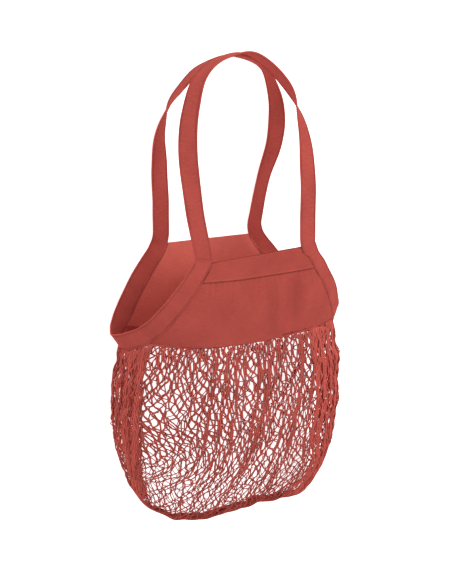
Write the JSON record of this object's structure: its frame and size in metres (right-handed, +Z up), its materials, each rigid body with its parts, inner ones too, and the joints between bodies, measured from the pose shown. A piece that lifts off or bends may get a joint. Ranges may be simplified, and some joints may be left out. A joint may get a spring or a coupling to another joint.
{
  "type": "mesh market bag",
  "caption": "Empty open-topped knitted net shopping bag with two woven panels and two long tape handles, lying on its back",
  "frame": {"origin": "on the floor plane, under the middle of the whole outline", "axes": "+Y from the bag's bottom seam to its handles, +X to the bag's right seen from the front, +Z up from the floor, the way the bag's front faces as it lies on its back"},
  "size_m": [0.3713, 0.6886, 0.1225],
  "materials": {
    "tape": "matt herringbone cotton tape, rust red",
    "woven_cloth": "matt plain-woven cotton cloth, rust red",
    "net_yarn": "matt knitted cotton yarn, rust red"
  },
  "bodies": {
    "root": {"tape": "tape", "panel_front": "woven_cloth", "panel_back": "woven_cloth", "net": "net_yarn"}
  },
  "joints": []
}
